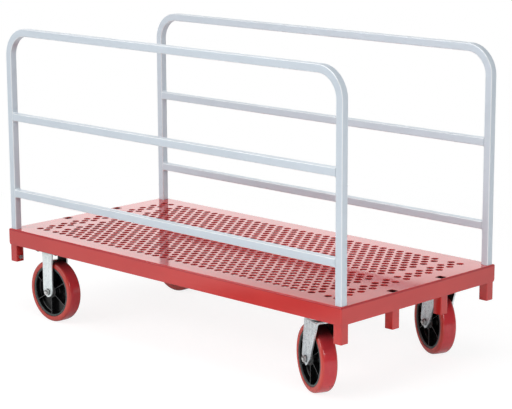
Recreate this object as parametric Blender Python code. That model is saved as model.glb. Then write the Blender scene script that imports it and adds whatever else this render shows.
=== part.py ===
"""Panel cart: a perforated steel deck on four casters, with two lift-out hoops.

Metres, +Z up. The origin is on the floor under the middle of the deck. X runs
along the deck, with the swivel casters at +X and the rigid casters at -X. The
hoops stand along the two long sides.
"""

import math

import bmesh
import bpy
from mathutils import Matrix, Vector

# Overall sizes
deck_length = 1.500
deck_width = 0.714
panel_height = 0.679
seat_gap = 0.0003
cut_overrun = 0.002

# Deck pan
sheet = 0.0034
skirt_depth = 0.054
fold_inner_radius = 0.0008
fold_steps = 3
clip_height = 0.009
clip_inset = 0.0028

# Deck perforation: every second hole of every second row of the real pattern
hole_radius = 0.010
hole_sides = 6
hole_pitch = 0.0702
row_pitch = 0.0518
field_margin = 0.1617
strip_margin = 0.0801
side_margin = 0.070

# Frame under the deck
channel_margin = 0.007
channel_wall = 0.004
beam_width = 0.030
beam_depth = 0.035
beam_wall = 0.003

# Square tube of the hoops and rails
tube_side = 0.025
tube_wall = 0.0016
tube_corner = 0.0018
bend_radius = 0.0825
bend_steps = 7
mid_rail_height = 0.394
low_rail_height = 0.135

# Sockets under the deck
sockets_per_end = 4
socket_clearance = 0.0005
socket_wall = 0.0025
socket_corner = 0.002
socket_reach = 0.1115
stop_height = 0.015
stop_radius = 0.004
stop_head_flats = 0.013
stop_head_height = 0.0053
stop_clearance = 0.0003

# Caster places and shared caster sizes
rigid_end_inset = 0.153
rigid_side_inset = 0.073
swivel_end_inset = 0.148
swivel_side_inset = 0.081
swivel_trail = 0.036
swivel_rest_angle = math.radians(-25)
plate_length = 0.114
plate_width = 0.102
plate_thickness = 0.006
plate_corner = 0.010
mount_inset_x = 0.011
mount_inset_y = 0.0175
mount_hole_radius = 0.0055
mount_hole_sides = 8
leg_thickness = 0.006
leg_clearance = 0.004
small_sides = 12

# Rigid fork
rigid_leg_half = 0.0235
rigid_leg_knee = 0.010
rigid_leg_drop = 0.018

# Swivel yoke and its bearing
crown_thickness = 0.006
crown_clearance = 0.0190
yoke_top_half = 0.046
yoke_waist_half = 0.029
yoke_knee = 0.005
yoke_drop = 0.021
yoke_tip_half = 0.007
race_height = 0.0111
race_radius = 0.044
race_bore = 0.020
race_lip = 0.005
race_sides = 24
kingpin_radius = 0.008
kingpin_recess = 0.0005
kingpin_head_flats = 0.024
kingpin_head_height = 0.008
pin_clearance = 0.0003

# Wheel
wheel_radius = 0.1045
wheel_sides = 28
tread_width = 0.050
tread_thickness = 0.019
tread_shoulder = 0.009
rim_inset = 0.001
rim_thickness = 0.0065
web_thickness = 0.008
boss_inset = 0.001
boss_radius = 0.0225
rib_count = 6
rib_thickness = 0.004
rib_inset = 0.003
bushing_radius = 0.011
bushing_sides = 24

# Axle bolt and nut
axle_radius = 0.00635
axle_head_flats = 0.019
axle_head_height = 0.008
axle_nut_height = 0.0085
axle_end = 0.002

# Derived places
half_length = deck_length / 2
half_width = deck_width / 2
fold_radius = sheet + fold_inner_radius
crown_bottom = 2 * wheel_radius + crown_clearance
crown_top = crown_bottom + crown_thickness
race_bottom = crown_top + seat_gap
plate_bottom = race_bottom + race_height + seat_gap
caster_height = plate_bottom + plate_thickness
deck_bottom = caster_height + seat_gap
deck_top = deck_bottom + skirt_depth
deck_underside = deck_top - sheet
socket_bore = tube_side + 2 * socket_clearance
socket_side = socket_bore + 2 * socket_wall
socket_x = half_length - sheet - seat_gap - socket_side / 2
socket_y = half_width - sheet - seat_gap - socket_side / 2
socket_top = deck_underside - seat_gap
socket_bottom = deck_top - socket_reach
stop_level = socket_bottom + stop_height
leg_bottom = stop_level + stop_radius + seat_gap
rigid_x = half_length - rigid_end_inset
rigid_y = half_width - rigid_side_inset
swivel_x = half_length - swivel_end_inset
swivel_y = half_width - swivel_side_inset
channel_width = plate_length + 2 * channel_margin
mount_x = plate_length / 2 - mount_inset_x
mount_y = plate_width / 2 - mount_inset_y
hub_length = tread_width + 2 * leg_clearance
boss_length = hub_length - 2 * boss_inset
rim_width = tread_width - 2 * rim_inset
rib_width = rim_width - 2 * rib_inset
leg_inner = hub_length / 2 + seat_gap
leg_outer = leg_inner + leg_thickness
core_radius = wheel_radius - tread_thickness - seat_gap
smooth_angle = math.radians(35)


def material(name, colour, roughness, metallic):
    """A plain Principled material."""
    result = bpy.data.materials.new(name)
    result.use_nodes = True
    shader = result.node_tree.nodes["Principled BSDF"]
    shader.inputs["Base Color"].default_value = (*colour, 1)
    shader.inputs["Roughness"].default_value = roughness
    shader.inputs["Metallic"].default_value = metallic
    return result


def red_powder_coat():
    """The deck and its frame."""
    return material("red_powder_coat", (0.58, 0.045, 0.04), 0.35, 0)


def silver_paint():
    """The hoops and their rails."""
    return material("silver_paint", (0.62, 0.66, 0.70), 0.38, 0)


def zinc_plate():
    """The forks, plates and fasteners."""
    return material("zinc_plate", (0.62, 0.64, 0.64), 0.35, 1)


def bushing_steel():
    """The sleeves on the axles."""
    return material("bushing_steel", (0.42, 0.41, 0.39), 0.40, 1)


def black_nylon():
    """The ribbed hubs."""
    return material("black_nylon", (0.012, 0.013, 0.014), 0.40, 0)


def red_polyurethane():
    """The tyres."""
    return material("red_polyurethane", (0.50, 0.035, 0.035), 0.38, 0)


def clear_scene():
    """Remove every object, so that the script starts from nothing."""
    for item in list(bpy.data.objects):
        bpy.data.objects.remove(item)


def empty(name, location, turn=0, parent=None):
    """A guide that carries pieces: at a place, turned about Z."""
    guide = bpy.data.objects.new(name, None)
    guide.location = location
    guide.rotation_euler.z = turn
    guide.parent = parent
    bpy.context.scene.collection.objects.link(guide)
    return guide


def piece(name, mesh, coating, location=(0, 0, 0), turn=0, parent=None):
    """One sub-part: a named object with its mesh, material and place."""
    item = bpy.data.objects.new(name, mesh)
    item.data.materials.clear()
    item.data.materials.append(coating)
    item.location = location
    item.rotation_euler.z = turn
    item.parent = parent
    bpy.context.scene.collection.objects.link(item)
    return item


def finished(bm):
    """A mesh from a bmesh, its faces out and its round faces smooth."""
    bmesh.ops.recalc_face_normals(bm, faces=bm.faces)
    mesh = bpy.data.meshes.new("piece")
    bm.to_mesh(mesh)
    bm.free()
    mesh.shade_smooth()
    mesh.set_sharp_from_angle(angle=smooth_angle)
    return mesh


def boolean(base, operation, tool):
    """The mesh that one Boolean makes of two closed meshes."""
    body = bpy.data.objects.new("boolean_base", base)
    other = bpy.data.objects.new("boolean_tool", tool)
    for item in (body, other):
        bpy.context.scene.collection.objects.link(item)
    modifier = body.modifiers.new("boolean", "BOOLEAN")
    modifier.operation = operation
    modifier.solver = "EXACT"
    modifier.object = other
    graph = bpy.context.evaluated_depsgraph_get()
    result = bpy.data.meshes.new_from_object(body.evaluated_get(graph))
    for item in (body, other):
        bpy.data.objects.remove(item)
    result.shade_smooth()
    result.set_sharp_from_angle(angle=smooth_angle)
    return result


def box(low, high):
    """A bmesh box between two corners."""
    low, high = Vector(low), Vector(high)
    bm = bmesh.new()
    size = high - low
    place = Matrix.Translation((low + high) / 2) @ Matrix.Diagonal((*size, 1))
    bmesh.ops.create_cube(bm, size=1, matrix=place)
    return bm


def upright_edges(bm):
    """The edges of a box that run along Z."""
    return [edge for edge in bm.edges if edge.verts[0].co.xy == edge.verts[1].co.xy]


def ring(radius, level, sides):
    """A round ring of points about Z, its flats on the radius, one flat facing -X."""
    corner = radius / math.cos(math.pi / sides)
    angles = [math.pi * (2 * i + 1) / sides for i in range(sides)]
    return [(corner * math.cos(a), corner * math.sin(a), level) for a in angles]


def hexagon(flats, level, sides):
    """A hexagon about Z that has as many points as a round ring."""
    points = []
    for i in range(sides):
        angle = math.pi * (2 * i + 1) / sides
        from_flat = (angle + math.pi / 6) % (math.pi / 3) - math.pi / 6
        reach = flats / 2 / math.cos(from_flat)
        points.append((reach * math.cos(angle), reach * math.sin(angle), level))
    return points


def lofted(rings, looped=False):
    """A closed skin through rings of points: capped, or looped back to the first."""
    bm = bmesh.new()
    loops = [[bm.verts.new(point) for point in points] for points in rings]
    if looped:
        loops.append(loops[0])
    else:
        bm.faces.new(loops[0])
        bm.faces.new(loops[-1])
    for first, second in zip(loops, loops[1:]):
        for i in range(len(first)):
            bm.faces.new((first[i - 1], first[i], second[i], second[i - 1]))
    return finished(bm)


def rod(radius, low, high, sides):
    """A round bar about Z."""
    return lofted([ring(radius, low, sides), ring(radius, high, sides)])


def prism(outline, low, high):
    """An outline in X and Z, extruded along Y."""
    bm = bmesh.new()
    face = bm.faces.new([bm.verts.new((x, low, z)) for x, z in outline])
    swept = bmesh.ops.extrude_face_region(bm, geom=[face])
    moved = [item for item in swept["geom"] if isinstance(item, bmesh.types.BMVert)]
    bmesh.ops.translate(bm, verts=moved, vec=(0, high - low, 0))
    return finished(bm)


def turned_to(mesh, direction, place):
    """The mesh with its Z axis laid along a direction, then moved to a place."""
    result = mesh.copy()
    turn = Vector((0, 0, 1)).rotation_difference(Vector(direction)).to_matrix().to_4x4()
    result.transform(Matrix.Translation(place) @ turn)
    return result


def moved(mesh, place):
    """A copy of the mesh, moved to a place."""
    result = mesh.copy()
    result.transform(Matrix.Translation(place))
    return result


def joined(meshes):
    """Separate bodies in one mesh, to serve as one cutter."""
    bm = bmesh.new()
    for mesh in meshes:
        bm.from_mesh(mesh)
    return finished(bm)


def tube_section(side, corner):
    """A square section with its corners cut, as eight points."""
    far = side / 2
    near = far - corner
    quarter = [(far, near), (near, far)]
    turns = [(1, 0, 0, 1), (0, -1, 1, 0), (-1, 0, 0, -1), (0, 1, -1, 0)]
    return [(a * x + b * y, c * x + d * y) for a, b, c, d in turns for x, y in quarter]


def square_tube(side, wall, corner, low, high):
    """A square tube about Z, open at both ends."""
    outer = tube_section(side, corner)
    inner = tube_section(side - 2 * wall, corner / 2)
    walk = [(outer, low), (outer, high), (inner, high), (inner, low)]
    return lofted([[(x, y, z) for x, y in section] for section, z in walk], looped=True)


def skirt_box(inset, radius, top):
    """A box for one face of the pan, its top and upright edges rounded."""
    reach_x = half_length - inset
    reach_y = half_width - inset
    bottom = deck_bottom - (cut_overrun if inset else 0)
    bm = box((-reach_x, -reach_y, bottom), (reach_x, reach_y, top))
    rounded = [e for e in bm.edges if max(v.co.z for v in e.verts) > top - radius]
    bmesh.ops.bevel(bm, geom=rounded, offset=radius, segments=fold_steps, profile=0.5,
                    affect="EDGES", clamp_overlap=True)
    return bm


def clip_corners(bm):
    """Slice the foot of each upright corner of the pan off at a slant."""
    for side_x in (-1, 1):
        for side_y in (-1, 1):
            rim = Vector((side_x, side_y, 0)).normalized()
            corner = Vector((side_x * (half_length - fold_radius), side_y * (half_width - fold_radius), 0))
            foot = corner + rim * (fold_radius - clip_inset)
            foot.z = deck_bottom
            normal = rim * clip_height - Vector((0, 0, clip_inset))
            geometry = list(bm.verts) + list(bm.edges) + list(bm.faces)
            sliced = bmesh.ops.bisect_plane(bm, geom=geometry, plane_co=foot, plane_no=normal,
                                            clear_outer=True)
            rim_edges = [e for e in sliced["geom_cut"] if isinstance(e, bmesh.types.BMEdge)]
            bmesh.ops.edgeloop_fill(bm, edges=rim_edges)


def socket_rows():
    """The Y places of the sockets at one end of the deck."""
    step = 2 * socket_y / (sockets_per_end - 1)
    return [-socket_y + step * i for i in range(sockets_per_end)]


def deck_hole_places():
    """The staggered field of deck holes and the strip near each end."""
    places = []
    rows = 2 * int((half_width - side_margin) / row_pitch + 1 / 2)
    columns = int((2 * (half_length - field_margin) + hole_pitch / 2) / hole_pitch)
    for row in range(rows):
        y = (row - (rows - 1) / 2) * row_pitch
        shift = row % 2 * hole_pitch / 2
        start = field_margin - half_length + shift
        places += [(start + column * hole_pitch, y) for column in range(columns)]
        strip = half_length - strip_margin
        places += [(-strip + shift, y), (strip - hole_pitch / 2 + shift, y)]
    return places


def make_deck_pan():
    """The perforated sheet with its four folded skirts."""
    outer = skirt_box(0, fold_radius, deck_top)
    clip_corners(outer)
    inner = finished(skirt_box(sheet, fold_radius - sheet, deck_underside))
    pan = boolean(finished(outer), "DIFFERENCE", inner)
    low = deck_underside - cut_overrun
    high = deck_top + cut_overrun
    punch = rod(hole_radius, low, high, hole_sides)
    tools = [moved(punch, (x, y, 0)) for x, y in deck_hole_places()]
    half = socket_bore / 2
    for end in (-1, 1):
        for y in socket_rows():
            x = end * socket_x
            tools.append(finished(box((x - half, y - half, low), (x + half, y + half, high))))
    return boolean(pan, "DIFFERENCE", joined(tools))


def channel(width, wall, depth, length):
    """A U channel along Y with its web down and its open side at the level zero."""
    half = width / 2
    inner = half - wall
    floor = wall - depth
    outline = [(-half, 0), (-half, -depth), (half, -depth), (half, 0),
               (inner, 0), (inner, floor), (-inner, floor), (-inner, 0)]
    return prism(outline, -length / 2, length / 2)


def mount_places():
    """The four bolt places of a caster plate, about its middle."""
    return [(x, y) for x in (-mount_x, mount_x) for y in (-mount_y, mount_y)]


def make_caster_channel(row_y):
    """A cross channel with the bolt holes of its two casters."""
    depth = socket_top - deck_bottom
    length = deck_width - 2 * (sheet + seat_gap)
    body = channel(channel_width, channel_wall, depth, length)
    top = channel_wall + cut_overrun - depth
    drill = rod(mount_hole_radius, -depth - cut_overrun, top, mount_hole_sides)
    tools = [moved(drill, (x, y + row, 0)) for row in (-row_y, row_y) for x, y in mount_places()]
    return boolean(body, "DIFFERENCE", joined(tools))


def make_socket():
    """A square socket about its own middle, drilled on its +X wall for the stop screw."""
    body = square_tube(socket_side, socket_wall, socket_corner, socket_bottom, socket_top)
    start = socket_bore / 2 - cut_overrun
    end = socket_side / 2 + cut_overrun
    drill = rod(stop_radius + stop_clearance, start, end, small_sides)
    return boolean(body, "DIFFERENCE", turned_to(drill, (1, 0, 0), (0, 0, stop_level)))


def make_stop_screw():
    """A hex screw that crosses the socket's bore under the post."""
    seat = socket_side / 2 + seat_gap
    tip = seat_gap - socket_bore / 2
    body = lofted([
        ring(stop_radius, tip, small_sides),
        ring(stop_radius, seat, small_sides),
        hexagon(stop_head_flats, seat, small_sides),
        hexagon(stop_head_flats, seat + stop_head_height, small_sides),
    ])
    return turned_to(body, (1, 0, 0), (0, 0, stop_level))


def hoop_stations():
    """The hoop's middle line in X and Z, with the direction across the tube at each point."""
    top = deck_top + panel_height - tube_side / 2
    stations = [(-socket_x, leg_bottom, math.pi)]
    for side in (-1, 1):
        for step in range(bend_steps + 1):
            angle = step / bend_steps * math.pi / 2
            if side < 0:
                angle = math.pi - angle
            else:
                angle = math.pi / 2 - angle
            x = side * (socket_x - bend_radius) + bend_radius * math.cos(angle)
            stations.append((x, top - bend_radius + bend_radius * math.sin(angle), angle))
    stations.append((socket_x, leg_bottom, 0))
    return stations


def make_hoop():
    """An upside-down U of square tube, its feet open."""
    rings = []
    outer = tube_section(tube_side, tube_corner)
    inner = tube_section(tube_side - 2 * tube_wall, tube_corner / 2)
    stations = hoop_stations()
    for section, walk in ((outer, stations), (inner, stations[::-1])):
        for x, z, angle in walk:
            rings.append([(x + a * math.cos(angle), b, z + a * math.sin(angle)) for a, b in section])
    return lofted(rings, looped=True)


def make_rail():
    """A straight tube that fills the space between the hoop's legs."""
    reach = socket_x - tube_side / 2 - seat_gap
    return turned_to(square_tube(tube_side, tube_wall, tube_corner, -reach, reach), (1, 0, 0), (0, 0, 0))


def plate_drill(radius, sides):
    """A round cutter through a caster's top plate."""
    return rod(radius, plate_bottom - cut_overrun, caster_height + cut_overrun, sides)


def make_plate():
    """A caster's top plate, with rounded corners and four bolt holes."""
    half_x = plate_length / 2
    half_y = plate_width / 2
    bm = box((-half_x, -half_y, plate_bottom), (half_x, half_y, caster_height))
    bmesh.ops.bevel(bm, geom=upright_edges(bm), offset=plate_corner, segments=fold_steps,
                    profile=0.5, affect="EDGES")
    drill = plate_drill(mount_hole_radius, mount_hole_sides)
    tools = joined([moved(drill, (x, y, 0)) for x, y in mount_places()])
    return boolean(finished(bm), "DIFFERENCE", tools)


def with_axle_holes(body, x):
    """The fork with its axle bored through both legs."""
    reach = leg_outer + cut_overrun
    drill = rod(axle_radius + pin_clearance, -reach, reach, small_sides)
    return boolean(body, "DIFFERENCE", turned_to(drill, (0, 1, 0), (x, 0, wheel_radius)))


def with_legs(body, outline):
    """The crown or plate joined to a leg on each side of the wheel."""
    for side in (-1, 1):
        low, high = sorted((side * leg_inner, side * leg_outer))
        body = boolean(body, "UNION", prism(outline, low, high))
    return body


def make_rigid_fork():
    """The rigid caster's plate with two straight legs, round at the foot."""
    top = caster_height - plate_thickness / 2
    knee = wheel_radius + rigid_leg_knee
    reach = rigid_leg_knee + rigid_leg_drop
    outline = [(rigid_leg_half, top)]
    for step in range(bend_steps + 1):
        angle = math.pi * step / bend_steps
        outline.append((rigid_leg_half * math.cos(angle), knee - reach * math.sin(angle)))
    outline.append((-rigid_leg_half, top))
    return with_axle_holes(with_legs(make_plate(), outline), 0)


def make_swivel_plate():
    """The swivel caster's top plate, bored for its kingpin."""
    drill = plate_drill(kingpin_radius + pin_clearance, small_sides)
    return boolean(make_plate(), "DIFFERENCE", drill)


def make_yoke():
    """The swivel caster's crown and two raked legs, about the kingpin."""
    low = (-yoke_top_half, -leg_outer, crown_bottom)
    high = (yoke_top_half, leg_outer, crown_top)
    axle = -swivel_trail
    knee = wheel_radius + yoke_knee
    tip = wheel_radius - yoke_drop
    outline = [
        (yoke_top_half, crown_top),
        (axle + yoke_waist_half, knee),
        (axle + yoke_tip_half, tip + yoke_tip_half / 2),
        (axle, tip),
        (axle - yoke_tip_half, tip + yoke_tip_half / 2),
        (axle - yoke_waist_half, knee),
        (-yoke_top_half, crown_top),
    ]
    body = with_axle_holes(with_legs(finished(box(low, high)), outline), axle)
    bore = kingpin_radius + pin_clearance
    drill = rod(bore, crown_bottom - cut_overrun, crown_top + cut_overrun, small_sides)
    return boolean(body, "DIFFERENCE", drill)


def make_race():
    """The ball race between the plate and the crown."""
    top = race_bottom + race_height
    middle = race_bottom + race_height / 2
    walk = [(race_bore, race_bottom), (race_radius - race_lip, race_bottom), (race_radius, middle),
            (race_radius - race_lip, top), (race_bore, top)]
    return lofted([ring(radius, level, race_sides) for radius, level in walk], looped=True)


def make_kingpin():
    """The pin that holds the yoke up, its upper end riveted flush in the plate."""
    seat = crown_bottom - seat_gap
    return lofted([
        hexagon(kingpin_head_flats, seat - kingpin_head_height, small_sides),
        hexagon(kingpin_head_flats, seat, small_sides),
        ring(kingpin_radius, seat, small_sides),
        ring(kingpin_radius, caster_height - kingpin_recess, small_sides),
    ])


def make_tread():
    """The tyre about Z, with a rounded shoulder on each side."""
    half = tread_width / 2
    cut = tread_shoulder * (1 - math.sqrt(1 / 2))
    walk = [(wheel_radius, half - tread_shoulder), (wheel_radius - cut, half - cut),
            (wheel_radius - tread_shoulder, half), (wheel_radius - tread_thickness, half)]
    rings = [ring(radius, -level, wheel_sides) for radius, level in walk[::-1]]
    rings += [ring(radius, level, wheel_sides) for radius, level in walk]
    return lofted(rings, looped=True)


def make_core():
    """The ribbed hub about Z: boss, web, rim and ribs, bored for the bushing."""
    rim = core_radius - rim_thickness
    walk = [(boss_radius, boss_length / 2), (boss_radius, web_thickness / 2), (rim, web_thickness / 2),
            (rim, rim_width / 2), (core_radius, rim_width / 2)]
    rings = [ring(radius, -level, wheel_sides) for radius, level in walk]
    rings += [ring(radius, level, wheel_sides) for radius, level in walk[::-1]]
    body = lofted(rings)
    reach = rim + rim_thickness / 2
    low = Vector((-reach, -rib_thickness / 2, -rib_width / 2))
    rib = finished(box(low, -low))
    for step in range(rib_count // 2):
        spoke = rib.copy()
        spoke.transform(Matrix.Rotation(2 * math.pi * (step + 1 / 2) / rib_count, 4, "Z"))
        body = boolean(body, "UNION", spoke)
    end = boss_length / 2 + cut_overrun
    return boolean(body, "DIFFERENCE", rod(bushing_radius + pin_clearance, -end, end, bushing_sides))


def make_bushing():
    """The sleeve on the axle, clamped between the legs."""
    end = hub_length / 2
    bore = rod(axle_radius + pin_clearance, -end - cut_overrun, end + cut_overrun, small_sides)
    return boolean(rod(bushing_radius, -end, end, bushing_sides), "DIFFERENCE", bore)


def make_axle_bolt():
    """The axle: its head outside one leg and its end past the nut outside the other."""
    seat = leg_outer + seat_gap
    return lofted([
        ring(axle_radius, -seat - axle_nut_height - axle_end, small_sides),
        ring(axle_radius, seat, small_sides),
        hexagon(axle_head_flats, seat, small_sides),
        hexagon(axle_head_flats, seat + axle_head_height, small_sides),
    ])


def make_axle_nut():
    """The nut on the axle's plain end."""
    near = -leg_outer - seat_gap
    far = near - axle_nut_height
    return lofted([
        hexagon(axle_head_flats, near, small_sides),
        ring(axle_radius + pin_clearance, near, small_sides),
        ring(axle_radius + pin_clearance, far, small_sides),
        hexagon(axle_head_flats, far, small_sides),
    ], looped=True)


def place_sockets(red, zinc):
    """Four sockets at each end, each with its stop screw on the inner wall."""
    socket = make_socket()
    screw = make_stop_screw()
    for end, x, turn in (("rear", -socket_x, 0), ("front", socket_x, math.pi)):
        for number, y in enumerate(socket_rows(), 1):
            piece(f"socket_{end}_{number}", socket, red, (x, y, 0), turn)
            piece(f"stop_screw_{end}_{number}", screw, zinc, (x, y, 0), turn)


def place_panels(paint):
    """A hoop and its two rails along each long side."""
    hoop = make_hoop()
    rail = make_rail()
    for side, y in (("right", -socket_y), ("left", socket_y)):
        guide = empty(f"panel_{side}", (0, y, 0))
        piece(f"hoop_{side}", hoop, paint, parent=guide)
        for name, height in (("mid", mid_rail_height), ("low", low_rail_height)):
            level = deck_top + height - tube_side / 2
            piece(f"{name}_rail_{side}", rail, paint, (0, 0, level), parent=guide)


def place_wheel(name, parts, location, stand):
    """The wheel and its axle parts about an axle that lies along Y."""
    axle = empty(f"axle_{name}", location, parent=stand)
    for part, (mesh, coating) in parts.items():
        item = piece(f"{part}_{name}", mesh, coating, parent=axle)
        item.rotation_euler.x = -math.pi / 2


def place_rigid_casters(parts, zinc):
    """A rigid caster at each rear corner."""
    fork = make_rigid_fork()
    for side, y in (("right", -rigid_y), ("left", rigid_y)):
        name = f"rear_{side}"
        stand = empty(f"caster_{name}", (-rigid_x, y, 0))
        piece(f"fork_{name}", fork, zinc, parent=stand)
        place_wheel(name, parts, (0, 0, wheel_radius), stand)


def place_swivel_casters(parts, zinc):
    """A swivel caster at each front corner, its yoke turned about the kingpin."""
    fixed = {"plate": make_swivel_plate(), "kingpin": make_kingpin()}
    turning = {"race": make_race(), "yoke": make_yoke()}
    for side, y in (("right", -swivel_y), ("left", swivel_y)):
        name = f"front_{side}"
        stand = empty(f"caster_{name}", (swivel_x, y, 0))
        pivot = empty(f"swivel_{name}", (0, 0, 0), swivel_rest_angle, stand)
        for guide, meshes in ((stand, fixed), (pivot, turning)):
            for part, mesh in meshes.items():
                piece(f"{part}_{name}", mesh, zinc, parent=guide)
        place_wheel(name, parts, (-swivel_trail, 0, wheel_radius), pivot)


def place_frame(red):
    """The deck pan, its two cross channels and the beam between them."""
    piece("deck_pan", make_deck_pan(), red)
    for name, x, row in (("rear", -rigid_x, rigid_y), ("front", swivel_x, swivel_y)):
        piece(f"caster_channel_{name}", make_caster_channel(row), red, (x, 0, socket_top))
    low = channel_width / 2 + seat_gap - rigid_x
    high = swivel_x - channel_width / 2 - seat_gap
    beam = channel(beam_width, beam_wall, beam_depth, high - low)
    piece("centre_beam", beam, red, ((low + high) / 2, 0, socket_top), math.pi / 2)


def main():
    """Build the whole cart."""
    clear_scene()
    red = red_powder_coat()
    zinc = zinc_plate()
    place_frame(red)
    place_sockets(red, zinc)
    place_panels(silver_paint())
    parts = {
        "tread": (make_tread(), red_polyurethane()),
        "hub_core": (make_core(), black_nylon()),
        "bushing": (make_bushing(), bushing_steel()),
        "axle_bolt": (make_axle_bolt(), zinc),
        "axle_nut": (make_axle_nut(), zinc),
    }
    place_rigid_casters(parts, zinc)
    place_swivel_casters(parts, zinc)


main()
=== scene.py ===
"""The looks of a panel cart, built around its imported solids.

Metres, +Z up. X runs along the deck, with the swivel casters at +X. The camera
looks from +X and -Y, so the right side of the cart is the one nearest to it.
"""

from math import atan2, cos, pi, radians, sin, sqrt, tan

import bmesh
import bpy
from mathutils import Matrix, Vector, noise
from mathutils.geometry import delaunay_2d_cdt


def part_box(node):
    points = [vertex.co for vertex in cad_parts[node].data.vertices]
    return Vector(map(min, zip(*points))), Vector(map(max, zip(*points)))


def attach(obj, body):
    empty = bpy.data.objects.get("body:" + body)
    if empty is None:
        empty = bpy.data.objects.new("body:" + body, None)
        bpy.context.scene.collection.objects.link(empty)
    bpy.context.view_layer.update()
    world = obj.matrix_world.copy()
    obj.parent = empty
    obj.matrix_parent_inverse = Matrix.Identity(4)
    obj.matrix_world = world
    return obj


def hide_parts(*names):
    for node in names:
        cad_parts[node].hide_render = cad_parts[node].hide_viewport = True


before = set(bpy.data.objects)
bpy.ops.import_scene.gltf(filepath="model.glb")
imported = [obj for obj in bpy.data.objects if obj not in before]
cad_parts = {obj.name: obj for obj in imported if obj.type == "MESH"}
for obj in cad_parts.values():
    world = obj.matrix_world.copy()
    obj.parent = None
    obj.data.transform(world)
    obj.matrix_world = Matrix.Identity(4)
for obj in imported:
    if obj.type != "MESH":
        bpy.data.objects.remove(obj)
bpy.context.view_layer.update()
scene = bpy.context.scene

# Camera, fitted to the photograph
image_width = 512
focal_pixels = 1798.77
sensor_width = 36.0
camera_place = (3.9853, -4.0164, 1.6227)
camera_yaw = radians(44.2818)
camera_pitch = radians(11.8017)
camera_roll = radians(-0.211)

# Lamps, each with its name, place, aim, width, height and the brightness of its face
lamps = (("key", (-2.2, -4.7, 3.0), (-0.1, 0, 0.7), 5.2, 2.0, 4.3),
         ("side", (4.0, -2.0, 2.3), (0.4, 0, 0.3), 2.4, 1.4, 5.2),
         ("top", (1.0, -1.2, 4.6), (0, 0, 0.4), 3.4, 2.4, 2.6),
         ("backdrop", (-5.0, 5.0, 1.2), (0, 0, 0.3), 7.0, 1.9, 0.84))

# World, as a light and as mirror images show it
world_light = 0.3
zenith_share = 0.75
backdrop_shine = 0.93
overhead_shine = 0.3
room_shine = 0.1

# Floor: what the camera sees, the light thrown back at the cart, and what mirror images show: a painted
# shadow under the cart and a painted dim spot aside
floor_size = 80.0
floor_matt = 0.26
floor_glow = 0.85
shadow_reach = (1.3, 2.6)
bounce_place = (1.3, -0.2, 0.0)
bounce_reach = (1.0, 2.0)
bounce_light = (1.0, 0.45)
shade_half = (0.55, 0.2)
shade_blur = 0.3
shade_share = 0.66
dim_place = (-0.22, -1.08, 0.0)
dim_reach = (0.126, 0.42)
dim_share = 0.92

# Linear colours, in pairs where noise blends between two
enamel = ((0.58, 0.032, 0.03), (0.625, 0.04, 0.035))
enamel_grain = (0.44, 0.016, 0.02)
enamel_scuff = (0.68, 0.15, 0.14)
# Painted shade: a dark line along the deck's fold
fold_painted_shade = (0.44, 0.008, 0.014)
# Painted shade on the lower walls of the deck's holes
hole_painted_shade = (0.22, 0.005, 0.01)
# Painted shade, near black, in the deck's slots and inside the sockets
slot_painted_shade = (0.03, 0.004, 0.005)
paint = ((0.636, 0.708, 0.78), (0.666, 0.738, 0.81))
# Painted highlight along the tubes' edges
paint_edge_highlight = (0.9, 0.93, 0.96)
paint_flake = (0.48, 0.52, 0.57)
paint_rub = (0.5, 0.52, 0.56)
# Painted shade on a fork's inside
fork_painted_shade = (0.03, 0.028, 0.026)
# Painted shade in seams and creases
seam_painted_shade = (0.02, 0.019, 0.018)
steel = ((0.34, 0.33, 0.32), (0.5, 0.49, 0.47))
tyre_side = ((0.58, 0.05, 0.036), (0.62, 0.064, 0.046))
tyre_face = ((0.58, 0.036, 0.048), (0.64, 0.046, 0.056))
tyre_mark = (0.55, 0.16, 0.15)
# Painted shade on the tyre's top
tyre_painted_shade = (0.045, 0.012, 0.013)
nylon = ((0.003, 0.0033, 0.0036), (0.0075, 0.008, 0.0085))
# Painted reflection on the hub's ring next to the tyre
nylon_rim_painted_reflection = ((0.06, 0.084, 0.082), (0.09, 0.115, 0.111))
# Painted highlight on the ribs' crests
nylon_crest_highlight = (0.125, 0.13, 0.132)

# Zinc coats: dark tone, light tone, roughness, and whether a fork's inside gets painted shade
zincs = {"bright": ((0.7, 0.77, 0.78), (0.86, 0.92, 0.92), 0.42, True),
         "mottled": ((0.52, 0.57, 0.6), (0.86, 0.93, 0.95), 0.4, True),
         "screw": ((0.2, 0.2, 0.2), (0.82, 0.83, 0.82), 0.36, False),
         # The dull coat is a darkened copy of zinc: painted shade for the rigid plates and the mount
         # fixings under the deck
         "dull": ((0.06, 0.06, 0.06), (0.2, 0.2, 0.19), 0.5, False),
         "pale": ((0.44, 0.48, 0.5), (0.74, 0.79, 0.8), 0.42, False)}

# Deck pan and its perforation
sheet = 0.0034
fold_radius = 0.0042
fold_steps = 4
side_step = 0.05
clip_height = 0.009
clip_inset = 0.0028
hole_radius = 0.0116
hole_steps = 24
hole_edge = 0.0008
hole_depth = 0.0054
edge_share = 1 - sqrt(0.5)
row_pitch = 0.0259
column_pitch = 0.0351
rows_per_side = 11
columns = 34
odd_start = -0.5883
even_start = -0.57075
odd_strip = (0.6348, 0.6699)
even_strip = (0.6524,)
slot_half = 0.013
slots_from = 0.69
slot_corner = 0.0015
slot_steps = 3

# Where the painted shade of the deck's folds (in radii) and holes starts and is full, and how dull holes
# are
fold_line = (0.1, 0.3)
fold_line_end = (1.5, 1.2)
hole_shade = (0.002, 0.003)
hole_dulling = 0.4

# Tubes of the hoops, rails and sockets
tube_wall = 0.0016
tube_corner = 0.003
bend_radius = 0.0825
bend_steps = 16
corner_steps = 4
socket_wall = 0.0025
socket_corner = 0.003
touch = 0.0002

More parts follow.
